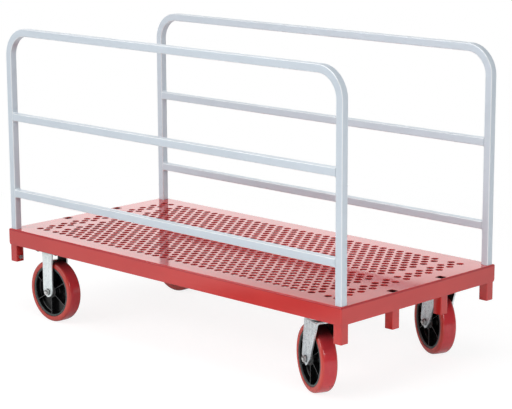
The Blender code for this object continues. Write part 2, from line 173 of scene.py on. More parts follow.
# Welds at the rails
weld_leg = 0.0042
weld_share = 0.94
weld_stations = 26
weld_steps = 4
weld_hollow = 0.62
weld_taper = 5
weld_least = 0.08
wave_size = 0.1
wave_turn = 2.4
noise_size = 0.12
noise_step = 0.45
seed_step = 3.1

# Frame under the deck
channel_wall = 0.004
channel_bend = 0.006
beam_wall = 0.003
beam_bend = 0.005

# Plates and mounts of the casters
plate_thickness = 0.006
plate_corner = 0.01
plate_steps = 6
soft_segments = 2
soft_angle = 40
mounts = [(x, y) for x in (-0.046, 0.046) for y in (-0.0335, 0.0335)]
mount_radius = 0.0047
mount_flats = 0.0165
mount_head = 0.0065
mount_nut = 0.0066
mount_end = 0.0027
nut_start = 0.5
nut_step = 1.9

# Legs of the forks and yokes
leg_thickness = 0.006
leg_middle = 0.0323
leg_bend = 0.008
leg_rows = 40
bend_rows = 8
web_rows = 9
edge_radius = 0.0009
edge_steps = 3
# Heights over which a fork's painted shade grows
fork_shade_levels = (0.1, 0.19)
fork_half = 0.0235
fork_flare = 0.0035
fork_flare_drop = 0.026
foot_rise = 0.028
foot_drop = 0.018
foot_least = 0.004
crown_half = 0.046
waist_half = 0.029
waist_rise = 0.005
waist_round = 0.012
tip_half = 0.007
tip_drop = 0.021
tip_rise = 0.0035
tip_round = 0.006

# Tyre, with its lip as steps out from its inner radius and in from its side
wheel_steps = 120
tread_inner = 0.0855
tread_half = 0.025
tread_lip = ((0, 0.0014), (0.0012, 0.0003), (0.004, 0))
flank_flat = 0.003
shoulder = 0.009
shoulder_steps = 6
crown_fall = 0.0004
crown_start = 0.45
crown_start_fall = 0.3

# Hub core and its ribs
core_radius = 0.0852
core_bore = 0.0113
bore_edge = 0.0006
rim_half = 0.0239
rim_thickness = 0.006
rim_lip = 0.0012
rim_edge_out = 0.0007
rim_edge_drop = 0.001
rim_fillet_out = 0.006
rim_fillet_in = 0.0018
rim_fillet_rise = 0.0035
web_half = 0.004
web_fillet = 0.003
boss_radius = 0.0215
boss_half = 0.0279
boss_edge = 0.0012
boss_draft = 0.002
rib_count = 6
rib_foot = 0.0042
rib_top = 0.0017
rib_dip = 0.0012
rib_dip_reach = 1.08
rib_dip_power = 0.8
rib_stations = 9
rib_inset = 0.0022

# Ball race, its profile in shares of its radius and height
race_steps = 72
race_bore = 0.45
race_profile = ((race_bore, 0), (0.86, 0), (0.93, 0.06), (0.985, 0.22), (1, 0.36), (1, 0.47), (0.975, 0.5),
                (0.93, 0.51), (0.93, 0.58), (0.965, 0.6), (0.97, 0.68), (0.94, 0.8), (0.88, 0.9),
                (0.8, 0.95), (0.78, 1), (race_bore, 1))

# Screws, pins and sleeves
small_steps = 48
thread_pitch = 0.0018
thread_depth = 0.0006
thread_crest = 0.3
thread_root = 0.65
corner_slope = tan(radians(30))
corner_shares = (0, 0.3, 0.6, 1)
face_share = 0.48
bushing_radius = 0.0109
bushing_chamfer = 0.0008
axle_radius = 0.00635
axle_flats = 0.019
stop_radius = 0.004
stop_flats = 0.013
pin_radius = 0.008
pin_flats = 0.024
pin_tip = 0.9

sides = ("right", "left")
socket_names = [f"{end}_{number}" for end in ("rear", "front") for number in range(1, 5)]


# Places, turns and sizes

def moved(x, y, z):
    """The matrix of a shift."""
    return Matrix.Translation((x, y, z))


def spun(angle, axis="Z"):
    """The matrix of a turn about an axis."""
    return Matrix.Rotation(angle, 4, axis)


def middle(node):
    """The middle of a CAD node's box."""
    low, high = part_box(node)
    return (low + high) / 2


def extent(node):
    """The size of a CAD node's box."""
    low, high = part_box(node)
    return high - low


# Outlines and closed bodies

def quarter(steps):
    """The sines and cosines of even steps over a quarter turn."""
    angles = [pi / 2 * step / steps for step in range(steps + 1)]
    return [(sin(angle), cos(angle)) for angle in angles]


def rounded(corners, radius, steps=corner_steps):
    """A closed outline with each corner rounded by its own or one shared radius."""
    radii = radius if hasattr(radius, "__len__") else [radius] * len(corners)
    outline = []
    for i, reach in enumerate(radii):
        here = Vector(corners[i])
        before = (Vector(corners[i - 1]) - here).normalized()
        after = (Vector(corners[(i + 1) % len(corners)]) - here).normalized()
        half = before.angle(after) / 2
        centre = here + (before + after).normalized() * reach / sin(half)
        start = here + before * reach / tan(half) - centre
        end = here + after * reach / tan(half) - centre
        sweep = atan2(start.x * end.y - start.y * end.x, start.dot(end))
        for step in range(steps + 1):
            turn = Matrix.Rotation(sweep * step / steps, 2)
            outline.append(tuple(centre + turn @ start))
    return outline


def rectangle(half_x, half_y):
    """The four corners of a rectangle about the origin."""
    return [(half_x, -half_y), (half_x, half_y), (-half_x, half_y), (-half_x, -half_y)]


def circle(radius, level, steps=small_steps):
    """A ring of points about Z."""
    angles = [2 * pi * i / steps for i in range(steps)]
    return [(radius * cos(a), radius * sin(a), level) for a in angles]


def bridge(bm, loops):
    """Faces between each loop of points and the next."""
    for first, second in zip(loops, loops[1:]):
        for i in range(len(first)):
            bm.faces.new((first[i - 1], first[i], second[i], second[i - 1]))


def skin(bm, rings, looped=False, capped=True):
    """Faces that join rings of points in a bmesh."""
    loops = [[bm.verts.new(point) for point in ring] for ring in rings]
    if looped:
        loops.append(loops[0])
    elif capped:
        bm.faces.new(loops[0])
        bm.faces.new(loops[-1])
    bridge(bm, loops)


def finished(bm, sharp=42, merge=1e-6):
    """A mesh from a bmesh: doubles merged, faces out, round faces smooth."""
    bmesh.ops.remove_doubles(bm, verts=bm.verts, dist=merge)
    bmesh.ops.recalc_face_normals(bm, faces=bm.faces)
    mesh = bpy.data.meshes.new("shape")
    bm.to_mesh(mesh)
    bm.free()
    mesh.shade_smooth()
    mesh.set_sharp_from_angle(angle=radians(sharp))
    return mesh


def creased(mesh, level_normal=0.9999):
    """A mesh whose level faces end in sharp edges and shade as flat."""
    bm = bmesh.new()
    bm.from_mesh(mesh)
    bm.normal_update()
    for edge in bm.edges:
        level = [abs(face.normal.z) > level_normal for face in edge.link_faces]
        if any(level) and not all(level):
            edge.smooth = False
    bm.to_mesh(mesh)
    bm.free()
    return mesh


def lofted(rings, looped=False, sharp=42):
    """One closed mesh through rings of points."""
    bm = bmesh.new()
    skin(bm, rings, looped)
    return finished(bm, sharp)


def turned(profile, steps=small_steps, sharp=42):
    """A body about Z from a closed profile of radius and level."""
    return lofted([circle(radius, level, steps) for radius, level in profile], True, sharp)


def tube_mesh(side, wall, corner, stations):
    """An open square tube with round corners, through stations of X, Z and slant."""
    half = side / 2
    outer = rounded(rectangle(half, half), corner)
    inner = rounded(rectangle(half - wall, half - wall), max(corner - wall, wall / 2))
    rings = []
    for section, walk in ((outer, stations), (inner, stations[::-1])):
        for x, z, angle in walk:
            rings.append([(x + a * cos(angle), b, z + a * sin(angle)) for a, b in section])
    return lofted(rings, looped=True)


def joined(meshes):
    """Several bodies in one mesh, each in its place."""
    bm = bmesh.new()
    for mesh, place in meshes:
        start = len(bm.verts)
        bm.from_mesh(mesh)
        bm.verts.ensure_lookup_table()
        bmesh.ops.transform(bm, matrix=place, verts=bm.verts[start:])
    return finished(bm, merge=0)


def added(name, data, place):
    """A new object in the scene, placed by a matrix."""
    item = bpy.data.objects.new(name, data)
    item.matrix_world = place
    scene.collection.objects.link(item)
    return item


def show(name, mesh, coat, stands_for=None, place=Matrix.Identity(4), body="deck_frame", soft=0.0):
    """One piece in its place, on a body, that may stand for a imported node."""
    if not mesh.materials:
        mesh.materials.append(coat.material)
    item = added(name, mesh, place)
    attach(item, body)
    if stands_for:
        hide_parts(stands_for)
    if soft:
        mesh.shade_smooth()
        bevel = item.modifiers.new("soft_edges", "BEVEL")
        bevel.width = soft
        bevel.segments = soft_segments
        bevel.limit_method = "ANGLE"
        bevel.angle_limit = radians(soft_angle)
    item.modifiers.new("flat_faces", "WEIGHTED_NORMAL").keep_sharp = not soft


# Screws and nuts

def hexagon(flats, low, high, cut_low=True, cut_high=True):
    """Rings of a hexagonal head or nut, its corners turned off at the ends."""
    face_radius = flats * face_share
    depth = (flats / 2 / cos(pi / 6) - face_radius) * corner_slope
    cuts = [depth * share for share in corner_shares]
    levels = [(low + cut, cut) for cut in cuts] if cut_low else [(low, depth)]
    levels += [(high - cut, cut) for cut in cuts[::-1]] if cut_high else [(high, depth)]
    rings = []
    for level, from_end in levels:
        ring = []
        for i in range(small_steps):
            angle = 2 * pi * i / small_steps
            from_flat = (angle + pi / 6) % (pi / 3) - pi / 6
            reach = min(flats / 2 / cos(from_flat), face_radius + from_end / corner_slope)
            ring.append((reach * cos(angle), reach * sin(angle), level))
        rings.append(ring)
    return rings


def thread(radius, low, high):
    """Rings of a threaded rod from its lower end upwards, its end chamfered."""
    root = radius - thread_depth
    rings = [circle(root, low)]
    for i in range(max(1, int((high - low - thread_depth) / thread_pitch))):
        level = low + thread_depth + i * thread_pitch
        rings += [circle(radius, level), circle(radius, level + thread_pitch * thread_crest),
                  circle(root, level + thread_pitch * thread_root)]
    return rings + [circle(radius, high)]


def bolt_mesh(radius, flats, low, thread_top, seat, top):
    """A bolt about Z: its threaded end, its shank and its hexagonal head."""
    rings = thread(radius, low, thread_top) + [circle(radius, seat)]
    return lofted(rings + hexagon(flats, seat, top, cut_low=False))


def nut_mesh(radius, flats, low, high):
    """A nut about Z with both faces chamfered."""
    return lofted(hexagon(flats, low, high) + [circle(radius, high), circle(radius, low)], looped=True)


# Shader nodes

class Nodes:
    """The nodes of a material or world, made by short calls."""

    def __init__(self, owner, kind, output, cleared=True):
        owner.use_nodes = True
        self.tree = owner.node_tree
        if cleared:
            self.tree.nodes.clear()
        self.where = self.node(kind)[output]

    def node(self, kind, inputs=None, **settings):
        """A new node's outputs, once its settings, values and links are made."""
        made = self.tree.nodes.new("ShaderNode" + kind)
        for key, value in settings.items():
            setattr(made, key, value)
        for key, value in (inputs or {}).items():
            if isinstance(value, bpy.types.NodeSocket):
                self.tree.links.new(value, made.inputs[key])
            else:
                made.inputs[key].default_value = value
        return made.outputs

    def maths(self, operation, first, second=0.0):
        """One sum of two values."""
        return self.node("Math", {0: first, 1: second}, operation=operation)[0]

    def plus(self, first, second):
        """Two values added."""
        return self.maths("ADD", first, second)

    def larger(self, first, second):
        """The larger of two values."""
        return self.maths("MAXIMUM", first, second)

    def times(self, first, *others):
        """Values multiplied."""
        for other in others:
            first = self.maths("MULTIPLY", first, other)
        return first

    def spread(self, value, low, high, to_low=0.0, to_high=1.0):
        """A value whose range is mapped to another, clamped."""
        inputs = {"Value": value, "From Min": low, "From Max": high, "To Min": to_low, "To Max": to_high}
        return self.node("MapRange", inputs)["Result"]

    def axis(self, name):
        """The X, Y or Z of the coordinates."""
        return self.node("SeparateXYZ", {0: self.where})[name]

    def out(self, name):
        """How far out along an axis a point is, to either side."""
        return self.maths("ABSOLUTE", self.axis(name))

    def distance(self, place=(0, 0, 0)):
        """How far a point is from a place."""
        return self.node("VectorMath", {0: self.where, 1: place}, operation="DISTANCE")["Value"]

    def facing(self, name, kind="NewGeometry"):
        """The X, Y or Z of a surface's direction, in the scene or by TexCoord in the piece."""
        return self.node("SeparateXYZ", {0: self.node(kind)["Normal"]})[name]

    def mirrored(self):
        """1 in mirror images and through clear bodies, 0 elsewhere."""
        rays = self.node("LightPath")
        return self.larger(rays["Is Glossy Ray"], rays["Is Transmission Ray"])

    def cloud(self, scale, detail=2.0, roughness=0.5):
        """A soft noise between 0 and 1, with one scale or one for each axis."""
        where = self.where
        if isinstance(scale, tuple):
            where = self.node("Mapping", {"Vector": where, "Scale": scale})["Vector"]
            scale = 1
        inputs = {"Vector": where, "Scale": scale, "Detail": detail, "Roughness": roughness}
        return self.node("TexNoise", inputs)["Fac"]

    def blended(self, share, *colours):
        """Two colours blended."""
        first, second = [(*c, 1) if isinstance(c, tuple) else c for c in colours]
        return self.node("Mix", {0: share, 6: first, 7: second}, data_type="RGBA")[2]

    def creviced(self, reach, closed, open_sky):
        """1 where other surfaces within a reach hem this one in, 0 where it is open."""
        shut = self.node("AmbientOcclusion", {"Distance": reach}, samples=8)
        return self.spread(shut["AO"], closed, open_sky, 1, 0)


class Coat(Nodes):
    """A material in a piece's own coordinates, with the name of its slot."""

    def __init__(self, name, slot, metallic=0.0, ior=1.5):
        self.material = bpy.data.materials.new(name)
        self.slot = slot
        super().__init__(self.material, "TexCoord", "Object", cleared=False)
        self.shader = self.tree.nodes["Principled BSDF"]
        self.give("Metallic", metallic)
        self.give("IOR", ior)

    def give(self, key, value):
        """Sets a value that is the same all over."""
        self.shader.inputs[key].default_value = value

    def finish(self, tone, dull, bumps):
        """Links colour, roughness and bumps, each a height, a strength and a distance."""
        normal = {}
        for height, strength, distance in bumps:
            inputs = {"Height": height, "Strength": strength, "Distance": distance, **normal}
            normal = {"Normal": self.node("Bump", inputs)["Normal"]}
        for key, value in {"Base Color": tone, "Roughness": dull, **normal}.items():
            self.tree.links.new(value, self.shader.inputs[key])
        return self


# Places that get painted shade, each 1 there and 0 elsewhere

def on_walls(coat):
    """The upright walls of the deck's openings, and the depth below the deck's top."""
    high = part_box("deck_pan")[1]
    share = coat.spread(coat.maths("ABSOLUTE", coat.facing("Z")), 0.4, 0.6, 1, 0)
    for axis, reach in zip("XY", high):
        share = coat.times(share, coat.maths("LESS_THAN", coat.out(axis), reach - 2 * fold_radius))
    return share, coat.maths("SUBTRACT", high.z, coat.axis("Z"))


def in_holes(coat):
    """The lower part of the walls of the deck's openings, which gets painted shade."""
    share, depth = on_walls(coat)
    return coat.times(share, coat.spread(depth, *hole_shade))


def in_slots(coat):
    """The walls of the deck's square slots, which get painted shade."""
    share, depth = on_walls(coat)
    at_slots = coat.maths("GREATER_THAN", coat.out("X"), slots_from)
    return coat.times(share, at_slots, coat.spread(depth, -touch, touch))


def on_fold(coat):
    """The rounded fold between the pan's top and its skirts, which gets a painted dark line."""
    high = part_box("deck_pan")[1]
    full = fold_radius * (1 - fold_line[1])
    shares = [coat.spread(coat.out(axis), reach - fold_radius, reach - full)
              for axis, reach in zip("XY", high)]
    depth = coat.maths("SUBTRACT", high.z, coat.axis("Z"))
    shown = [coat.spread(depth, fold_radius * a, fold_radius * b) for a, b in (fold_line, fold_line_end)]
    return coat.times(coat.larger(*shares), *shown)


def in_sockets(coat):
    """The inner walls of a socket and its upper end, which get painted shade."""
    bore = extent("socket_front_1").x / 2 - socket_wall
    inner = coat.spread(coat.larger(coat.out("X"), coat.out("Y")), bore + touch, bore + 2 * touch, 1, 0)
    return coat.larger(inner, coat.spread(coat.facing("Z"), 0.6, 0.8))


def in_fork(coat):
    """Where painted shade goes on a fork: faces that look inwards or down, more so near its top."""
    side = coat.maths("SIGN", coat.axis("Y"))
    inward = coat.spread(coat.times(coat.facing("Y", "TexCoord"), side), -0.3, -0.7)
    down = coat.spread(coat.facing("Z", "TexCoord"), -0.5, -0.8)
    high = coat.spread(coat.axis("Z"), *fork_shade_levels, 0.35, 0.97)
    return coat.times(coat.larger(inward, down), high)


# Coats

def red_powder_coat(name, layers=()):
    """Glossy baked enamel with clouds, scuffs on top and places with painted shade."""
    coat = Coat(name, "red_powder_coat", ior=1.54)
    tone = coat.blended(coat.spread(coat.cloud(3.2, 3), 0.35, 0.65), *enamel)
    grain = coat.spread(coat.cloud(900, 1), 0.35, 0.65, 0, 0.03)
    tone = coat.blended(grain, tone, enamel_grain)
    scuffs = coat.spread(coat.cloud((9, 210, 60), 2, 0.6), 0.66, 0.74)
    scuffs = coat.times(scuffs, coat.spread(coat.facing("Z"), 0.9, 0.99))
    tone = coat.blended(coat.times(scuffs, 0.16), tone, enamel_scuff)
    dull = coat.spread(coat.cloud(14, 3), 0.3, 0.7, 0.07, 0.11)
    dull = coat.plus(dull, coat.times(scuffs, 0.12))
    for place, tint, duller in layers:
        share = place(coat)
        tone = coat.blended(share, tone, tint)
        dull = coat.plus(dull, coat.times(share, duller))
    return coat.finish(tone, dull, [(coat.cloud(90), 0.04, 0.0005)])


def silver_paint():
    """Pale blue-grey enamel, a little metallic, with a painted highlight along the tubes' edges."""
    coat = Coat("silver_paint", "silver_paint", metallic=0.18)
    tone = coat.blended(coat.spread(coat.cloud(5, 3), 0.3, 0.7), *paint)
    across = coat.maths("ABSOLUTE", coat.facing("Y", "TexCoord"))
    # Painted highlight on the tubes' rounded corners
    edge = coat.times(coat.spread(across, 0.15, 0.4), coat.spread(across, 0.98, 0.9), 0.85)
    tone = coat.blended(edge, tone, paint_edge_highlight)
    tone = coat.blended(coat.spread(coat.cloud(1400, 1), 0.4, 0.7, 0, 0.02), tone, paint_flake)
    rubs = coat.spread(coat.cloud(22, 4, 0.6), 0.66, 0.76)
    tone = coat.blended(coat.times(rubs, 0.06), tone, paint_rub)
    dull = coat.spread(coat.cloud(30, 3), 0.3, 0.7, 0.29, 0.36)
    dull = coat.plus(dull, coat.times(rubs, 0.12))
    return coat.finish(tone, dull, [(coat.cloud(70), 0.05, 0.0004)])


def zinc(name, dark, light, roughness, shaded_inside):
    """Zinc plating with spangles, streaks and blotches, and painted shade in its seams and creases."""
    coat = Coat(f"zinc_{name}", "zinc_plate", metallic=0.85)
    cells = coat.node("TexVoronoi", {"Vector": coat.where, "Scale": 260.0, "Randomness": 1.0})
    grey = coat.node("SeparateColor", {0: cells["Color"]})["Red"]
    streaks = coat.cloud((150, 150, 18), 3, 0.65)
    mottle = coat.plus(coat.times(grey, 0.3), coat.times(streaks, 0.45))
    mottle = coat.plus(mottle, coat.times(coat.cloud(42, 4, 0.6), 0.45))
    tone = coat.blended(coat.spread(mottle, 0.42, 0.78), dark, light)
    if shaded_inside:
        # Painted shade on a fork's inner and lower faces, darkest near its top
        tone = coat.blended(in_fork(coat), tone, fork_painted_shade)
    # Painted shade where other surfaces hem the zinc in, at seams and seats
    tone = coat.blended(coat.times(coat.creviced(0.006, 0.45, 0.85), 0.9), tone, seam_painted_shade)
    dull = coat.spread(mottle, 0.4, 0.8, roughness + 0.1, roughness - 0.06)
    return coat.finish(tone, dull, [(coat.cloud(700), 0.12, 0.0003), (streaks, 0.08, 0.0004)])


def turned_steel():
    """Plain steel sleeve with fine lathe rings."""
    coat = Coat("turned_steel", "bushing_steel", metallic=1.0)
    rings = coat.cloud((90, 90, 2600))
    dull = coat.spread(rings, 0.3, 0.7, 0.26, 0.42)
    return coat.finish(coat.blended(rings, *steel), dull, [(rings, 0.15, 0.0002)])


def red_polyurethane():
    """Cast tyre: cooler red and scuffed where it rolls, with painted shade on top where the deck hems it
    in.
    """
    coat = Coat("red_polyurethane", "red_polyurethane")
    rolling = coat.spread(coat.out("Z"), tread_half - 0.001, tread_half - shoulder)
    patches = coat.spread(coat.cloud(24, 3), 0.3, 0.7)
    tone = coat.blended(rolling, coat.blended(patches, *tyre_side), coat.blended(patches, *tyre_face))
    around = coat.cloud((30, 30, 420), 3, 0.6)
    marks = coat.times(coat.spread(around, 0.6, 0.75), rolling)
    tone = coat.blended(coat.times(marks, 0.3), tone, tyre_mark)
    # Painted shade on the tyre's upward faces where the deck and fork hem it in
    under = coat.times(coat.creviced(0.14, 0.35, 0.8), coat.spread(coat.facing("Z"), 0, 0.3), 0.9)
    tone = coat.blended(under, tone, tyre_painted_shade)
    dull = coat.plus(coat.spread(patches, 0, 1, 0.15, 0.21), coat.times(marks, 0.04))
    coat.give("Subsurface Weight", 0.08)
    coat.give("Subsurface Radius", (0.006, 0.0015, 0.001))
    coat.give("Subsurface Scale", 1.0)
    return coat.finish(tone, dull, [(coat.cloud(180, 3), 0.08, 0.0006), (around, 0.04, 0.0004)])


def black_nylon():
    """Moulded hub: black, with a painted grey highlight on its ribs' crests and a painted grey-green
    reflection on the ring next to the tyre.
    """
    coat = Coat("black_nylon", "black_nylon", ior=1.32)
    radius = coat.distance(coat.node("CombineXYZ", {2: coat.axis("Z")})[0])
    ring_start = core_radius - rim_thickness
    # Painted reflection: a grey-green ring next to the tyre
    ring = coat.spread(radius, ring_start - touch, ring_start + 3 * touch)
    side = coat.out("Z")
    ring = coat.times(ring, coat.spread(side, rim_half - 0.004, rim_half - 0.0015))
    patches = coat.spread(coat.cloud(55, 4), 0.35, 0.65)
    crest = rim_half - rib_inset - rib_dip
    # Painted highlight along the ribs' crests
    crest_highlight = coat.times(coat.spread(side, crest - 0.001, crest - touch), 0.8)
    dark = coat.blended(crest_highlight, coat.blended(patches, *nylon), nylon_crest_highlight)
    tone = coat.blended(ring, dark, coat.blended(patches, *nylon_rim_painted_reflection))
    dull = coat.plus(coat.spread(patches, 0, 1, 0.16, 0.26), coat.times(ring, 0.2))
    return coat.finish(tone, dull, [(coat.cloud(520), 0.1, 0.0003), (coat.cloud(60), 0.1, 0.0008)])


# Deck

def hole_places():
    """The middles of the round holes: two fields, and a strip at each end."""
    places = []
    for row in range(1, rows_per_side + 1):
        start, strip = (odd_start, odd_strip) if row % 2 else (even_start, even_strip)
        across = [start + column * column_pitch for column in range(columns)]
        across += [side * x for side in (-1, 1) for x in strip]
        places += [(x, side * row * row_pitch) for side in (-1, 1) for x in across]
    return places


def round_hole(grow):
    """A round hole about the origin, grown by its rounding."""
    return circle(hole_radius + grow, 0, hole_steps)


def square_slot(grow):
    """A square slot about the origin, grown by its rounding."""
    return rounded(rectangle(slot_half + grow, slot_half + grow), slot_corner + grow, slot_steps)


def opening(outline_at, x, y):
    """The rings of an opening: its edge on top, halfway round the edge, and its wall."""
    grows = (hole_edge, hole_edge * edge_share, 0)
    return [[(x + point[0], y + point[1]) for point in outline_at(grow)] for grow in grows]


def flat_edge(half_x, half_y):
    """Points round a rectangle, each with the direction that it faces."""
    corners = [Vector(p) for p in rectangle(half_x, half_y)]
    stations = []
    for i, start in enumerate(corners):
        end = corners[(i + 1) % 4]
        along = (end - start).normalized()
        outward = atan2(-along.x, along.y)
        count = round((end - start).length / side_step)
        for step in range(fold_steps + 1):
            stations.append((start, outward - pi / 2 * (1 - step / fold_steps)))
        for step in range(1, count):
            stations.append((start.lerp(end, step / count), outward))
    return stations


def fold_arc(radius, top):
    """How far out and how low a fold runs, from level to upright."""
    return [(radius * s, top - radius * (1 - c)) for s, c in quarter(fold_steps)]


def fold_walk(top, bottom):
    """How far out and how low the pan's skin runs, from its top to its underside."""
    inner = fold_radius - sheet
    lip = sheet / 6
    walk = fold_arc(fold_radius, top)
    walk += [(fold_radius, bottom + lip), (fold_radius - lip, bottom)]
    walk += [(inner + lip, bottom), (inner, bottom + lip)]
    walk += fold_arc(inner, top - sheet)[::-1]
    return walk + [(0, top - hole_depth)]


def clip_feet(bm, half_x, half_y, bottom):
    """Cuts the foot of each upright corner off at a slant."""
    for side_x, side_y in ((-1, -1), (-1, 1), (1, -1), (1, 1)):
        rim = Vector((side_x, side_y, 0)).normalized()
        foot = Vector((side_x * half_x, side_y * half_y, 0)) + rim * (fold_radius - clip_inset)
        foot.z = bottom
        normal = rim * clip_height - Vector((0, 0, clip_inset))
        geometry = list(bm.verts) + list(bm.edges) + list(bm.faces)
        cut = bmesh.ops.bisect_plane(bm, geom=geometry, plane_co=foot, plane_no=normal, clear_outer=True)
        edges = [e for e in cut["geom_cut"] if isinstance(e, bmesh.types.BMEdge)]
        bmesh.ops.edgeloop_fill(bm, edges=edges)


def perforate(bm, outline, cuts, top):
    """The flat top and underside of the pan, and the walls of its openings."""
    points = []
    below = []
    edges = []
    owner = []
    starts = []
    for number, (wide, _, tight) in enumerate([(outline, None, outline)] + cuts):
        start = len(points)
        starts.append(start)
        points += wide
        below += tight
        edges += [(start + i, start + (i + 1) % len(wide)) for i in range(len(wide))]
        owner += [number] * len(wide)
    flat = delaunay_2d_cdt([Vector(p) for p in points], edges, [], 1, 1e-7)
    source = [origin[0] for origin in flat[3]]
    upper = [bm.verts.new((*points[i], top)) for i in source]
    lower = [bm.verts.new((*below[i], top - hole_depth)) for i in source]
    for face in flat[2]:
        owners = {owner[source[i]] for i in face}
        if len(owners) > 1 or 0 in owners:
            bm.faces.new([upper[i] for i in face])
            bm.faces.new([lower[i] for i in reversed(face)])
    index = {origin: i for i, origin in enumerate(source)}
    for start, (_, halfway, tight) in zip(starts[1:], cuts):
        loop = [index[start + i] for i in range(len(tight))]
        round_edge = [bm.verts.new((*p, top - hole_edge * edge_share)) for p in halfway]
        wall = [bm.verts.new((*p, top - hole_edge)) for p in tight]
        bridge(bm, [[upper[i] for i in loop], round_edge, wall, [lower[i] for i in loop]])


def deck_mesh():
    """The perforated pan with folded skirts, as one sheet of real thickness."""
    low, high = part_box("deck_pan")
    half_x = high.x - fold_radius
    half_y = high.y - fold_radius
    stations = flat_edge(half_x, half_y)
    bm = bmesh.new()
    rings = []
    for out, level in fold_walk(high.z, low.z):
        rings.append([(p.x + out * cos(a), p.y + out * sin(a), level) for p, a in stations])
    skin(bm, rings, capped=False)
    clip_feet(bm, half_x, half_y, low.z)
    cuts = [opening(round_hole, x, y) for x, y in hole_places()]
    cuts += [opening(square_slot, *middle(f"socket_{name}").xy) for name in socket_names]
    outline = list(dict.fromkeys(tuple(place) for place, _ in stations))
    perforate(bm, outline, cuts, high.z)
    return creased(finished(bm, sharp=52, merge=1e-5))


def channel_mesh(width, depth, length, wall, bend):
    """A channel along Y with round bends: open at level zero, its web down."""
    half = width / 2
    inner = half - wall
    corners = [(-half, 0), (-half, -depth), (half, -depth), (half, 0),
               (inner, 0), (inner, wall - depth), (-inner, wall - depth), (-inner, 0)]
    small = wall / 8
    tight = bend - wall + small
    outline = rounded(corners, [small, bend, bend, small, small, tight, tight, small])
    return lofted([[(x, y, z) for x, z in outline] for y in (-length / 2, length / 2)])


def show_frame(red):
    """The deck pan, the cross channels and the beam along the middle."""
    # Painted shade on the deck's fold, the lower walls of its holes and its slots
    layers = [(on_fold, fold_painted_shade, 0), (in_holes, hole_painted_shade, hole_dulling), (in_slots, slot_painted_shade, 0)]
    coat = red_powder_coat("red_powder_coat_deck", layers)
    show("perforated_deck", deck_mesh(), coat, "deck_pan")
    for name, node, wall, bend, turn in (
            ("cross_channel_rear", "caster_channel_rear", channel_wall, channel_bend, 0),
            ("cross_channel_front", "caster_channel_front", channel_wall, channel_bend, 0),
            ("spine_beam", "centre_beam", beam_wall, beam_bend, pi / 2)):
        size = extent(node)
        width, length = sorted(size.xy)
        place = moved(middle(node).x, 0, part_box(node)[1].z) @ spun(turn)
        show(name, channel_mesh(width, size.z, length, wall, bend), red, node, place)


def show_sockets(red, plated):
    """The eight sockets under the deck and the screws that stop the posts."""
    low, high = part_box("socket_front_1")
    side = high.x - low.x
    tube = tube_mesh(side, socket_wall, socket_corner, [(0, low.z, 0), (0, high.z, 0)])
    screw_low, screw_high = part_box("stop_screw_rear_1")
    socket_x = middle("socket_rear_1").x
    seat = side / 2 + touch
    rings = [circle(stop_radius, screw_low.x - socket_x), circle(stop_radius, seat)]
    screw = lofted(rings + hexagon(stop_flats, seat, screw_high.x - socket_x, cut_low=False))
    lay = moved(0, 0, middle("stop_screw_rear_1").z) @ spun(pi / 2, "Y")
    for name in socket_names:
        socket = middle(f"socket_{name}")
        place = moved(socket.x, socket.y, 0) @ spun(0 if socket.x < 0 else pi)
        show(f"post_socket_{name}", tube, red, f"socket_{name}", place)
        show(f"post_screw_{name}", screw, plated, f"stop_screw_{name}", place @ lay)


# Hoops and rails

def hoop_path(leg_x, foot, top):
    """The middle line of a hoop, an upside-down U in the XZ plane."""
    stations = [(-leg_x, foot, pi)]
    level = top - bend_radius
    for sign, start in ((-1, pi), (1, pi / 2)):
        for step in range(bend_steps + 1):
            angle = start - step / bend_steps * pi / 2
            x = sign * (leg_x - bend_radius) + bend_radius * cos(angle)
            stations.append((x, level + bend_radius * sin(angle), angle))
    return stations + [(leg_x, foot, 0)]


def stitch(length, seed):
    """A short fillet weld along Y in the corner of +X and +Z faces, its bead rippled."""
    rings = []
    for station in range(weld_stations + 1):
        share = station / weld_stations
        y = (share - 0.5) * length
        taper = min(1, weld_taper * min(share, 1 - share)) ** 0.5
        lump = noise.noise(Vector((seed, station * noise_step, 0)))
        ripple = 1 + wave_size * sin(station * wave_turn) + noise_size * lump
        size = max(weld_least, taper) * ripple * weld_leg
        bow = [(size * (1 - weld_hollow * s), size * (1 - weld_hollow * c)) for s, c in quarter(weld_steps)]
        section = [(-touch, -touch), (size, -touch)] + bow + [(-touch, size)]
        rings.append([(x, y, z) for x, z in section])
    return lofted(rings, sharp=60)


def rail_welds(side, level, reach):
    """Fillets above and below both ends of a rail."""
    beads = []
    for number, (end, up) in enumerate([(-1, 1), (-1, -1), (1, 1), (1, -1)]):
        bead = stitch(side * weld_share, number * seed_step + level)
        place = moved(end * reach, 0, level + up * side / 2) @ Matrix.Diagonal((-end, 1, up, 1))
        beads.append((bead, place))
    return beads


def show_panels(coat):
    """Both lift-out hoops with their rails and the weld at each rail's end."""
    for name in sides:
        low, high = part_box(f"hoop_{name}")
        side = high.y - low.y
        place = moved(0, middle(f"hoop_{name}").y, 0)
        body = f"panel_{name}"
        path = hoop_path(high.x - side / 2, low.z, high.z - side / 2)
        hoop = tube_mesh(side, tube_wall, tube_corner, path)
        show(f"hoop_tube_{name}", hoop, coat, f"hoop_{name}", place, body)
        beads = []
        for rail in ("mid", "low"):
            node = f"{rail}_rail_{name}"
            rail_low, rail_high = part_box(node)
            level = (rail_low.z + rail_high.z) / 2
            tube = tube_mesh(side, tube_wall, tube_corner, [(0, rail_low.x, 0), (0, rail_high.x, 0)])
            lay = place @ moved(0, 0, level) @ spun(pi / 2, "Y")
            show(f"{rail}_cross_rail_{name}", tube, coat, node, lay, body)
            beads += rail_welds(side, level, rail_high.x)
        show(f"rail_welds_{name}", joined(beads), coat, None, place, body)


# Forks and yokes

